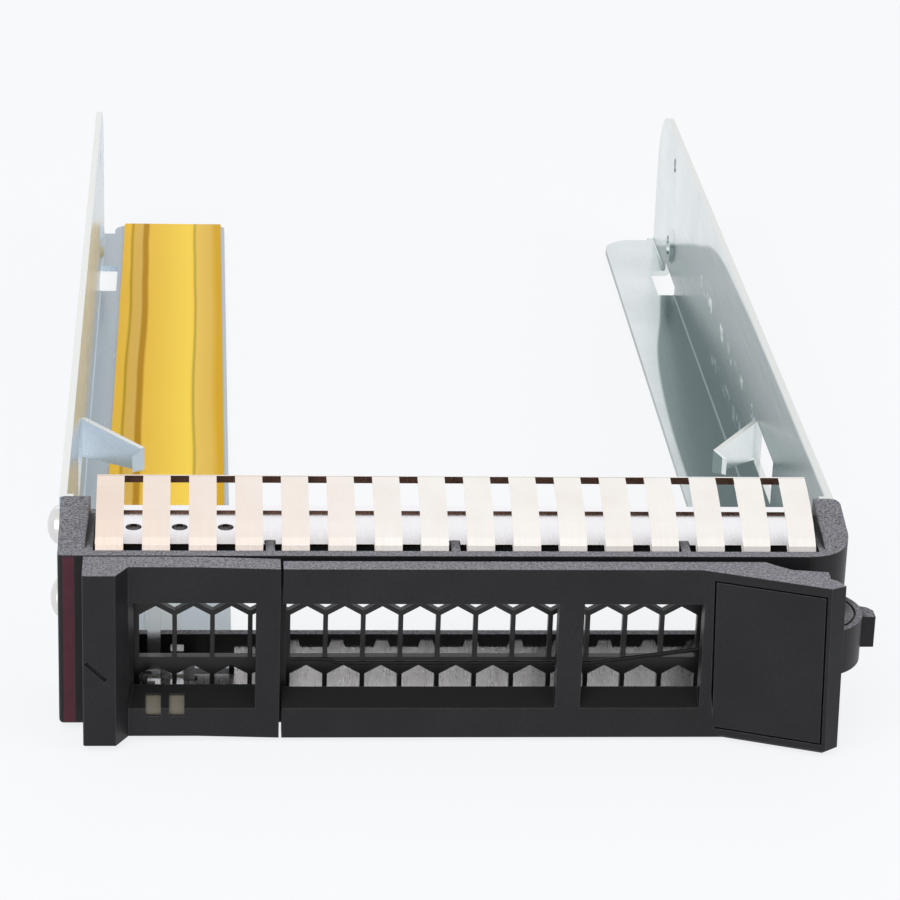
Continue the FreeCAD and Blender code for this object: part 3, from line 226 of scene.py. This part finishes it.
def black_moulding(name, *pieces):
    tree, shader, coords = finish(name, *pieces)
    upward = node(tree, "SeparateXYZ", {0: coords.outputs["Normal"]}).outputs["Z"]
    level = node(tree, "MapRange", {"Value": upward, "From Min": TOP_FROM, "From Max": TOP_FULL})
    sloping = node(tree, "MapRange", {"Value": upward, "From Min": SILL_FROM, "From Max": SILL_FULL})
    sill = node(tree, "Math", {0: sloping, 1: level}, operation="SUBTRACT")
    # Painted shade: tops near a wall stay black, as shade in the crevice.
    nearby = node(tree, "AmbientOcclusion", {"Distance": CREVICE}, samples=8)
    unshaded = node(tree, "MapRange", {"Value": nearby.outputs["AO"], "From Min": CREVICE_OPEN,
                                   "From Max": CREVICE_CLEAR})
    top = node(tree, "Math", {0: level, 1: unshaded}, operation="MULTIPLY")
    grain = node(tree, "TexNoise", {"Vector": coords.outputs["Object"], "Scale": 1 / GRAIN, "Detail": 3.0})
    cloud = node(tree, "TexNoise", {"Vector": coords.outputs["Object"], "Scale": 1 / CLOUD, "Detail": 4.0})
    rounded = node(tree, "Bevel", {"Radius": EDGE}, samples=4)
    colour = painted_edge_highlight(tree, grain_and_painted_light_colour(tree, grain, cloud, top, sill), rounded)
    rough = node(tree, "Math", {0: top, 1: ROUGHER_TOP, 2: FRONT_ROUGHNESS}, operation="MULTIPLY_ADD")
    rough = node(tree, "Math", {0: sill, 1: ROUGHER_SILL, 2: rough}, operation="MULTIPLY_ADD")
    deeper = node(tree, "Math", {0: upward, 1: DEEPER_FROM}, operation="GREATER_THAN")
    depth = node(tree, "Math", {0: deeper, 1: DEEPER_GRAIN, 2: GRAIN_STRENGTH}, operation="MULTIPLY_ADD")
    bump = node(tree, "Bump", {"Height": grain, "Strength": depth, "Distance": GRAIN_DEPTH,
                               "Normal": rounded})
    connect(tree, shader, {"Base Color": colour, "Roughness": rough, "Normal": bump, "IOR": ABS_IOR,
                           "Specular IOR Level": 0.25})


black_moulding("abs_black_moulded", "bezel_frame", "left_fascia", "ejector_lever")


# Honeycomb grille and the small clip over the light pipes: thin black ABS mouldings, smooth
# and a little glossier than the frame, clouded where the plastic flowed together.
GRILLE_BLACK = "101011"
GRILLE_CLOUDED = "1e1e20"
GRILLE_CLOUD = 2.5 * MM
tree, shader, coords = finish("abs_black_grille", "hex_grille", "light_pipe_clip")
cloud = node(tree, "TexNoise", {"Vector": coords.outputs["Object"], "Scale": 1 / GRILLE_CLOUD, "Detail": 3.0})
colour = node(tree, "Mix", {"Factor": cloud, "A": rgb(GRILLE_BLACK), "B": rgb(GRILLE_CLOUDED)},
              data_type="RGBA")
rounded = node(tree, "Bevel", {"Radius": EDGE}, samples=4)
bump = node(tree, "Bump", {"Height": cloud, "Strength": 0.15, "Distance": GRAIN_DEPTH, "Normal": rounded})
connect(tree, shader, {"Base Color": colour, "Normal": bump, "Roughness": 0.38, "IOR": ABS_IOR,
                       "Specular IOR Level": 0.35})


# Touch strip: a burgundy ABS moulding let into the left end of the frame. It is satin, and
# fingers have rubbed it unevenly.
BURGUNDY = "3a1420"
BURGUNDY_RUBBED = "54202e"
RUB = 1.2 * MM
RUB_DEPTH = 0.04 * MM
tree, shader, coords = finish("abs_burgundy_moulded", "touch_strip")
rub = node(tree, "TexNoise", {"Vector": coords.outputs["Object"], "Scale": 1 / RUB, "Detail": 4.0})
colour = node(tree, "Mix", {"Factor": rub, "A": rgb(BURGUNDY), "B": rgb(BURGUNDY_RUBBED)}, data_type="RGBA")
bump = node(tree, "Bump", {"Height": rub, "Strength": 0.2, "Distance": RUB_DEPTH})
connect(tree, shader, {"Base Color": colour, "Normal": bump, "Roughness": 0.42, "Specular IOR Level": 0.3})


# Spring strips: plated beryllium copper, rolled thin and bright, with fine lines from rolling.
# The top strip's plating is warmer at the left end than at the right, and its upright front
# faces get a brown painted shade. The flat land between the fingers is painted a neutral
# white, a faint painted shade on the faces that look up.
ROLL_LINE = 0.35 * MM       # spacing of the rolling lines, drawn coarser than real
ROLL_RUN = 0.04             # the lines change this much slower along a finger
LINE_DEPTH = 0.02 * MM
WARM_END_X = -50 * MM
COOL_FROM_X = -5 * MM
BLUSH = 6 * MM              # size of the faint stains in the plating
STAIN = "d8c4b4"
# painted shade: the level land between the fingers is given this neutral white
LAND = "fbf9fb"
LAND_BELOW = 27 * MM        # the flat land between the fingers lies lower than their crests
LAND_LOOKS_UP = 0.95        # how far upwards the land looks, where 1 is straight up
# painted shade: upright faces that look to the front are painted brown
FRONT_PAINTED_SHADE_BROWN = "5c463c"
FRONT_FROM, FRONT_FULL = -0.86, -0.97   # how far an upright face looks back, where -1 is to the front


def spring_metal(name, warm, cool, front_shade_share, *pieces):
    tree, shader, coords = finish(name, *pieces)
    place = node(tree, "SeparateXYZ", {0: coords.outputs["Object"]})
    facing = node(tree, "SeparateXYZ", {0: coords.outputs["Normal"]})
    across = node(tree, "MapRange", {"Value": place.outputs["X"], "From Min": WARM_END_X,
                                     "From Max": COOL_FROM_X})
    colour = node(tree, "Mix", {"Factor": across, "A": rgb(warm), "B": rgb(cool)}, data_type="RGBA")
    blush = node(tree, "TexNoise", {"Vector": coords.outputs["Object"], "Scale": 1 / BLUSH, "Detail": 3.0})
    stain = node(tree, "MapRange", {"Value": blush, "From Min": 0.35, "From Max": 0.75, "To Min": 0.0,
                                    "To Max": 0.15})
    colour = node(tree, "Mix", {"Factor": stain, "A": colour, "B": rgb(STAIN)}, data_type="RGBA")
    # Painted shade: the low level land takes its own neutral white.
    level = node(tree, "Math", {0: facing.outputs["Z"], 1: LAND_LOOKS_UP}, operation="GREATER_THAN")
    low = node(tree, "Math", {0: place.outputs["Z"], 1: LAND_BELOW}, operation="LESS_THAN")
    land = node(tree, "Math", {0: level, 1: low}, operation="MULTIPLY")
    colour = node(tree, "Mix", {"Factor": land, "A": colour, "B": rgb(LAND)}, data_type="RGBA")
    # Painted shade: front-facing upright faces turn brown, by the given share.
    front = node(tree, "MapRange", {"Value": facing.outputs["Y"], "From Min": FRONT_FROM,
                                    "From Max": FRONT_FULL, "To Max": front_shade_share})
    colour = node(tree, "Mix", {"Factor": front, "A": colour, "B": rgb(FRONT_PAINTED_SHADE_BROWN)}, data_type="RGBA")
    stretch = node(tree, "Mapping", {"Vector": coords.outputs["Object"], "Scale": (1, ROLL_RUN, ROLL_RUN)})
    lines = node(tree, "TexNoise", {"Vector": stretch, "Scale": 1 / ROLL_LINE, "Detail": 2.0})
    rough = node(tree, "MapRange", {"Value": lines, "To Min": 0.22, "To Max": 0.34})
    bump = node(tree, "Bump", {"Height": lines, "Strength": 0.04, "Distance": LINE_DEPTH})
    connect(tree, shader, {"Base Color": colour, "Roughness": rough, "Normal": bump, "Metallic": 1.0})


spring_metal("beryllium_copper_plated", "fbeade", "fffdfa", 1.0, "top_emi_spring")
spring_metal("spring_strip_plated", "d6d4d4", "d8d8d8", 0.0, "bottom_emi_spring")
spring_metal("contact_strip_plated", "e2e2e0", "e2e2e0", 0.0, "side_contacts")


# Rails: zinc-plated steel sheet, rolled, lanced and folded. The plating is bright, with faint
# lines along the rail and soft clouds. The left rail's flat flange is painted a darker zinc as
# painted shade. The right rail has a darker zone along its fold, a painted dark reflection, and
# drives have rubbed two rows of bright scuffs into it.
ZINC_LEFT = "c9d8e6"
ZINC_RIGHT = "e6ecec"
# dark zinc of the soft clouds, and of the painted dark reflection on the right rail
ZINC_CLOUD_AND_REFLECTION_DARK = "7c8c8d"
# painted shade: the left rail's level flange, darker than its upright wall
ZINC_LEVEL = "b0bac0"       # left flange, lying flat
SHEARED = "e4e6e2"          # cut upper edges of the sheet
SHEARED_ABOVE = 5 * MM
LEVEL_FROM = 0.9            # how far upwards a level face looks, where 1 is straight up
RAIL_LINE = 0.5 * MM        # spacing of the rolling lines, drawn coarser than real
RAIL_RUN = 0.03             # the lines change this much slower along the rail
RAIL_CLOUD = 14 * MM
ZONE_FRONT_Y = -27 * MM
ZONE_REAR_Y = 97 * MM
WALL_HEIGHT = 28 * MM
FLANGE_LIMIT_X = 41.4 * MM
FLANGE_REACH = 8.5 * MM
WALL_BLUR = (-0.3 * MM, 0.5 * MM)       # the zone fades in over this much at its limit
FLANGE_BLUR = (-0.2 * MM, 0.3 * MM)
FACES = 0.7                 # share of the normal from which a face belongs to the wall or flange
ZONE_SHARE = 0.97
# The zone's limits, as the share of the way back and the share of the height or reach there.
WALL_LIMIT = ((0.0, 0.985), (0.2, 0.968), (0.405, 0.914), (0.58, 0.70), (0.751, 0.443), (0.9, 0.2),
              (1.0, 0.05))
FLANGE_LIMIT = ((0.0, 0.02), (0.39, 0.07), (0.74, 0.62), (0.96, 1.0), (1.0, 1.0))
SCUFFS = ((14.8 * MM, -23 * MM, 40 * MM), (7.6 * MM, -10 * MM, 24 * MM))    # height, from, to
SCUFF_SIZE = 3.2 * MM
SCUFF_REACH = 1.1 * MM      # above and below the row


def painted_reflection_zone(tree, place, facing):
    """Mask of the painted dark reflection: 1 below the limit on the wall and beyond the limit on the flange,
    0 elsewhere.
    """
    along = node(tree, "MapRange", {"Value": place.outputs["Y"], "From Min": ZONE_FRONT_Y,
                                    "From Max": ZONE_REAR_Y})
    limits = []
    for points in (WALL_LIMIT, FLANGE_LIMIT):
        limit = node(tree, "FloatCurve", {"Value": along})
        curve = limit.mapping.curves[0]
        curve.points[0].location = points[0]
        curve.points[1].location = points[-1]
        for point in points[1:-1]:
            curve.points.new(*point)
        limit.mapping.update()
        limits.append(limit)
    under = node(tree, "Math", {0: limits[0], 1: WALL_HEIGHT}, operation="MULTIPLY")
    under = node(tree, "Math", {0: under, 1: place.outputs["Z"]}, operation="SUBTRACT")
    under = node(tree, "MapRange", {"Value": under, "From Min": WALL_BLUR[0], "From Max": WALL_BLUR[1]})
    on_wall = node(tree, "Math", {0: facing.outputs["X"], 1: -FACES}, operation="LESS_THAN")
    wall = node(tree, "Math", {0: under, 1: on_wall}, operation="MULTIPLY")
    edge = node(tree, "Math", {0: limits[1], 1: FLANGE_REACH, 2: FLANGE_LIMIT_X}, operation="MULTIPLY_ADD")
    beyond = node(tree, "Math", {0: place.outputs["X"], 1: edge}, operation="SUBTRACT")
    beyond = node(tree, "MapRange", {"Value": beyond, "From Min": FLANGE_BLUR[0], "From Max": FLANGE_BLUR[1]})
    on_flange = node(tree, "Math", {0: facing.outputs["Z"], 1: FACES}, operation="GREATER_THAN")
    flange = node(tree, "Math", {0: beyond, 1: on_flange}, operation="MULTIPLY")
    return node(tree, "Math", {0: wall, 1: flange}, operation="ADD", use_clamp=True)


def scuffed(tree, coords, place, shade):
    """The shade, with rows of scuffs rubbed bright."""
    specks = node(tree, "TexNoise", {"Vector": coords.outputs["Object"], "Scale": 1 / SCUFF_SIZE,
                                     "Detail": 3.0})
    for row_z, front_y, rear_y in SCUFFS:
        row = node(tree, "Math", {0: place.outputs["Z"], 1: row_z, 2: SCUFF_REACH}, operation="COMPARE")
        span = node(tree, "Math", {0: place.outputs["Y"], 1: (front_y + rear_y) / 2,
                                   2: (rear_y - front_y) / 2}, operation="COMPARE")
        scuff_and_highlight_mask = node(tree, "MapRange", {"Value": specks, "From Min": 0.50, "From Max": 0.62, "To Max": 0.9})
        scuff_and_highlight_mask = node(tree, "Math", {0: scuff_and_highlight_mask, 1: row}, operation="MULTIPLY")
        scuff_and_highlight_mask = node(tree, "Math", {0: scuff_and_highlight_mask, 1: span}, operation="MULTIPLY")
        shade = node(tree, "Math", {0: shade, 1: scuff_and_highlight_mask}, operation="SUBTRACT", use_clamp=True)
    return shade


def zinc_sheet(name, piece, zinc, metallic, painted_dark_reflection):
    tree, shader, coords = finish(name, piece)
    place = node(tree, "SeparateXYZ", {0: coords.outputs["Object"]})
    facing = node(tree, "SeparateXYZ", {0: coords.outputs["Normal"]})
    cloud = node(tree, "TexNoise", {"Vector": coords.outputs["Object"], "Scale": 1 / RAIL_CLOUD,
                                    "Detail": 4.0})
    shade = node(tree, "MapRange", {"Value": cloud, "From Min": 0.3, "From Max": 0.7, "To Min": 0.0,
                                    "To Max": 0.22})
    if painted_dark_reflection:
        # Painted reflection: a dark zone along the fold of the wall and flange.
        zone = painted_reflection_zone(tree, place, facing)
        zone = node(tree, "Math", {0: zone, 1: ZONE_SHARE}, operation="MULTIPLY")
        shade = node(tree, "Math", {0: shade, 1: zone}, operation="MAXIMUM")
        shade = scuffed(tree, coords, place, shade)
    colour = node(tree, "Mix", {"Factor": shade, "A": rgb(zinc), "B": rgb(ZINC_CLOUD_AND_REFLECTION_DARK)}, data_type="RGBA")
    level = node(tree, "Math", {0: facing.outputs["Z"], 1: LEVEL_FROM}, operation="GREATER_THAN")
    # Painted shade: level faces of the left rail take the darker level zinc.
    if not painted_dark_reflection:
        colour = node(tree, "Mix", {"Factor": level, "A": colour, "B": rgb(ZINC_LEVEL)}, data_type="RGBA")
    high = node(tree, "Math", {0: place.outputs["Z"], 1: SHEARED_ABOVE}, operation="GREATER_THAN")
    sheared = node(tree, "Math", {0: level, 1: high}, operation="MULTIPLY")
    colour = node(tree, "Mix", {"Factor": sheared, "A": colour, "B": rgb(SHEARED)}, data_type="RGBA")
    stretch = node(tree, "Mapping", {"Vector": coords.outputs["Object"], "Scale": (1, RAIL_RUN, 1)})
    lines = node(tree, "TexNoise", {"Vector": stretch, "Scale": 1 / RAIL_LINE, "Detail": 3.0})
    rough = node(tree, "MapRange", {"Value": lines, "To Min": 0.14, "To Max": 0.34})
    bump = node(tree, "Bump", {"Height": lines, "Strength": 0.2, "Distance": LINE_DEPTH})
    connect(tree, shader, {"Base Color": colour, "Roughness": rough, "Normal": bump, "Metallic": metallic})


zinc_sheet("zinc_sheet_left_bright", "left_rail", ZINC_LEFT, metallic=0.45, painted_dark_reflection=False)
zinc_sheet("zinc_sheet_right_bright", "right_rail", ZINC_RIGHT, metallic=1.0, painted_dark_reflection=True)


# Small steel pieces: plated rail screws, ground hinge pin, bright coil and blackened wire.
# Each shows its metal, faintly specked where plating, grinding or drawing left it uneven.
STEEL_SPECK = 0.4 * MM
for name, code, speck_code, smooth, dull, piece in (
        ("steel_plated_screws", "b4b4b2", "8a8a88", 0.25, 0.45, "rail_screws"),
        ("steel_ground_pin", "c2c2c2", "8a8a88", 0.15, 0.3, "lever_hinge_pin"),
        ("steel_spring_wire", "b6b6b6", "8a8a88", 0.2, 0.35, "latch_spring"),
        ("steel_blackened_wire", "1a1a1b", "2c2c2d", 0.3, 0.5, "lever_spring")):
    tree, shader, coords = finish(name, piece)
    specks = node(tree, "TexNoise", {"Vector": coords.outputs["Object"], "Scale": 1 / STEEL_SPECK,
                                     "Detail": 3.0})
    colour = node(tree, "Mix", {"Factor": specks, "A": rgb(code), "B": rgb(speck_code)}, data_type="RGBA")
    rough = node(tree, "MapRange", {"Value": specks, "To Min": smooth, "To Max": dull})
    connect(tree, shader, {"Base Color": colour, "Roughness": rough, "Metallic": 1.0})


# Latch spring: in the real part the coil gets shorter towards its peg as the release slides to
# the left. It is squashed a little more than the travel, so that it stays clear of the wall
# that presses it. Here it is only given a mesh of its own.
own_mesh(nodes["latch_spring"])


# Light pipes and lenses: injection moulded acrylic. The pipes are clear and faintly milky,
# and the lenses in the sill are smoked and let a third of the light through.
ACRYLIC_IOR = 1.49
HAZE = 0.8 * MM
for name, code, clear, pieces in (
        ("acrylic_clear", "f4f6f6", 0.97, ("light_pipe_left", "light_pipe_right")),
        ("acrylic_lens", "7c7668", 0.35, ("light_lens_left", "light_lens_right"))):
    tree, shader, coords = finish(name, *pieces)
    haze = node(tree, "TexNoise", {"Vector": coords.outputs["Object"], "Scale": 1 / HAZE, "Detail": 3.0})
    rough = node(tree, "MapRange", {"Value": haze, "To Min": 0.05, "To Max": 0.3})
    connect(tree, shader, {"Base Color": rgb(code), "Roughness": rough, "Transmission Weight": clear,
                           "IOR": ACRYLIC_IOR})


# Status lights: two surface-mounted LEDs behind the pipes, cast in pale diffusing resin.
LED_RESIN = "e9e4d2"
LED_RESIN_PALE = "f4f2e8"
LED_CLOUD = 0.3 * MM
tree, shader, coords = finish("led_resin", "status_leds")
cloud = node(tree, "TexNoise", {"Vector": coords.outputs["Object"], "Scale": 1 / LED_CLOUD})
colour = node(tree, "Mix", {"Factor": cloud, "A": rgb(LED_RESIN), "B": rgb(LED_RESIN_PALE)}, data_type="RGBA")
connect(tree, shader, {"Base Color": colour, "Roughness": 0.3})


# LED board: glass epoxy, etched, with pale grey solder mask. The fine lines in the mask are
# the edges of the copper tracks under it.
MASK = "d8d7d8"
MASK_PALE = "dcdbdc"
TRACK_EDGE = "9c9a98"
TRACK = 1.6 * MM
TRACK_EDGE_WIDTH = 0.06
tree, shader, coords = finish("glass_epoxy_pale", "led_board")
tracks = node(tree, "TexBrick", {"Vector": coords.outputs["Object"], "Scale": 1 / TRACK,
                                 "Mortar Size": TRACK_EDGE_WIDTH, "Color1": rgb(MASK),
                                 "Color2": rgb(MASK_PALE), "Mortar": rgb(TRACK_EDGE)})
connect(tree, shader, {"Base Color": tracks, "Roughness": 0.35})


# Insulator film: clear amber polyimide, cut from the sheet and stuck over the flex circuit.
# The edges of the copper tracks below show through it as olive lines along the flange, and
# they wander a little, as the film lies in slow waves.
FILM_LEFT_X = -50.0 * MM
FILM_SPAN = 19.0 * MM
FILM_BANDS = ((0.000, "ffca43"), (0.135, "ffcb43"), (0.155, "bd9800"), (0.175, "ecbd50"),
              (0.250, "e9bd59"), (0.268, "c18c00"), (0.305, "c48e00"), (0.325, "f9c847"),
              (0.700, "ffd950"), (0.735, "ffd44d"), (0.755, "b8a035"), (0.775, "ecc459"),
              (0.900, "e2ba53"), (0.960, "d7a51d"))     # share of the span, colour from there on
DRIFT = 40 * MM
DRIFT_SHARE = 0.05
WAVE = 9 * MM
WAVE_DEPTH = 0.3 * MM
tree, shader, coords = finish("polyimide_film", "insulator_film")
place = node(tree, "SeparateXYZ", {0: coords.outputs["Object"]})
drift = node(tree, "TexNoise", {"Vector": coords.outputs["Object"], "Scale": 1 / DRIFT, "Detail": 1.0})
across = node(tree, "MapRange", {"Value": place.outputs["X"], "From Min": FILM_LEFT_X,
                                 "From Max": FILM_LEFT_X + FILM_SPAN})
across = node(tree, "Math", {0: drift, 1: DRIFT_SHARE, 2: across}, operation="MULTIPLY_ADD")
bands = node(tree, "ValToRGB", {"Fac": across})
for number, (position, code) in enumerate(FILM_BANDS):
    stop = bands.color_ramp.elements[number] if number < 2 else bands.color_ramp.elements.new(position)
    stop.position = position
    stop.color = rgb(code)
wave = node(tree, "TexNoise", {"Vector": coords.outputs["Object"], "Scale": 1 / WAVE, "Detail": 2.0})
bump = node(tree, "Bump", {"Height": wave, "Strength": 0.3, "Distance": WAVE_DEPTH})
connect(tree, shader, {"Base Color": bands, "Normal": bump, "Roughness": 0.35, "Specular IOR Level": 0.02,
                       "Coat Weight": 0.03, "Coat Roughness": 0.08})


# Flex circuit: copper on amber polyimide, laminated, on the left flange. Its narrow lead in
# front of the film is pale, with a tinned stiffener that reaches to the LED board.
FLEX_AMBER = "b98a34"
FLEX_BROWN = "8a6020"
FLEX_LEAD = "c4cccc"
LEAD_FROM_Y = -48 * MM
LEAD_FULL_Y = -52 * MM
STREAK = 1.1 * MM
STREAK_RUN = 0.02           # the streaks change this much slower along the flange
tree, shader, coords = finish("polyimide_flex", "flex_circuit")
stretch = node(tree, "Mapping", {"Vector": coords.outputs["Object"], "Scale": (1, STREAK_RUN, 1)})
streaks = node(tree, "TexNoise", {"Vector": stretch, "Scale": 1 / STREAK, "Detail": 3.0})
colour = node(tree, "Mix", {"Factor": streaks, "A": rgb(FLEX_AMBER), "B": rgb(FLEX_BROWN)}, data_type="RGBA")
place = node(tree, "SeparateXYZ", {0: coords.outputs["Object"]})
lead = node(tree, "MapRange", {"Value": place.outputs["Y"], "From Min": LEAD_FROM_Y, "From Max": LEAD_FULL_Y})
colour = node(tree, "Mix", {"Factor": lead, "A": colour, "B": rgb(FLEX_LEAD)}, data_type="RGBA")
connect(tree, shader, {"Base Color": colour, "Roughness": 0.3})
